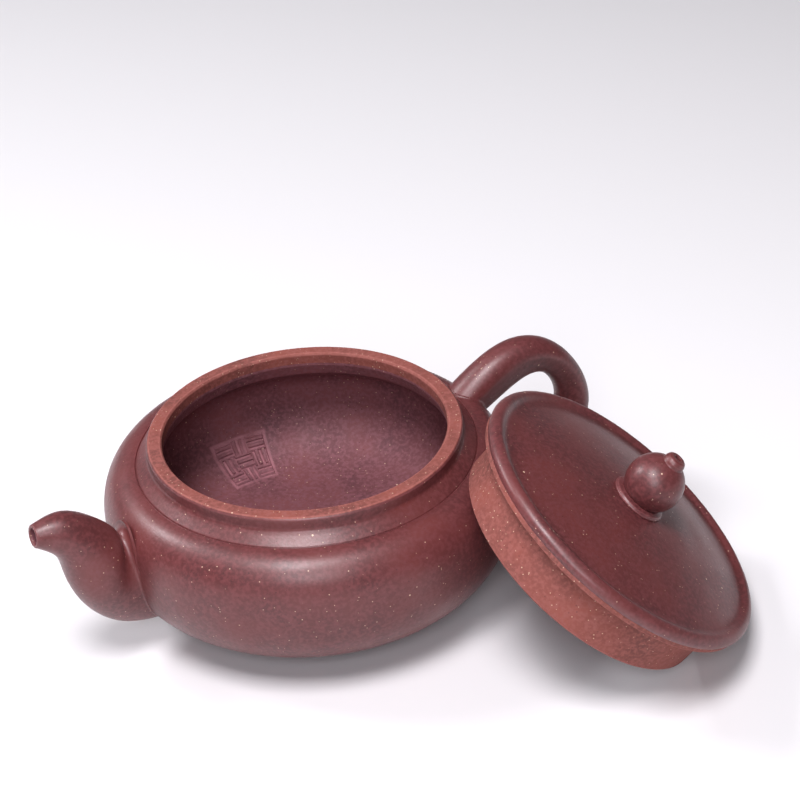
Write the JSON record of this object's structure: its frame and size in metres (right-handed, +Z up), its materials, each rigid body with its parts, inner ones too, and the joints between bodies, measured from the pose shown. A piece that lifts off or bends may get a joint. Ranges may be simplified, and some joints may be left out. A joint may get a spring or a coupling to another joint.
{
  "type": "clay teapot",
  "caption": "Low round-bellied unglazed clay teapot with a short bent spout, ear handle and a lifted-off lid with a collar and a vented ball knob.",
  "frame": {"origin": "centre of the foot's flat underside, on the pot's axis", "axes": "+Z up along the pot's axis, +X through the middle of the handle, -X through the spout"},
  "size_m": [0.1527, 0.1477, 0.0581],
  "materials": {
    "burnished_clay": "burnished purple-brown stoneware clay, satin, with fine pale sand specks",
    "bare_clay": "unburnished pinkish-brown clay, matt and grainy"
  },
  "bodies": {
    "pot": {"foot": "burnished_clay", "floor_slab": "bare_clay", "belly_wall": "burnished_clay", "shoulder": "burnished_clay", "neck_ring": "burnished_clay", "mouth_rim": "bare_clay", "spout": "burnished_clay", "handle": "burnished_clay"},
    "lid": {"lid_crown": "burnished_clay", "lid_bead": "burnished_clay", "lid_seat": "burnished_clay", "lid_collar": "bare_clay", "knob_ring": "burnished_clay", "knob": "burnished_clay", "knob_tip": "burnished_clay"}
  },
  "joints": [
    {"name": "lid_swing", "type": "hinge", "parent": "pot", "child": "lid", "pos_m": [-0.06196, -0.04725, 0.00947], "axis": [-0.2137, -0.7619, 0.6114], "range_deg": [0, 51.2]}
  ]
}
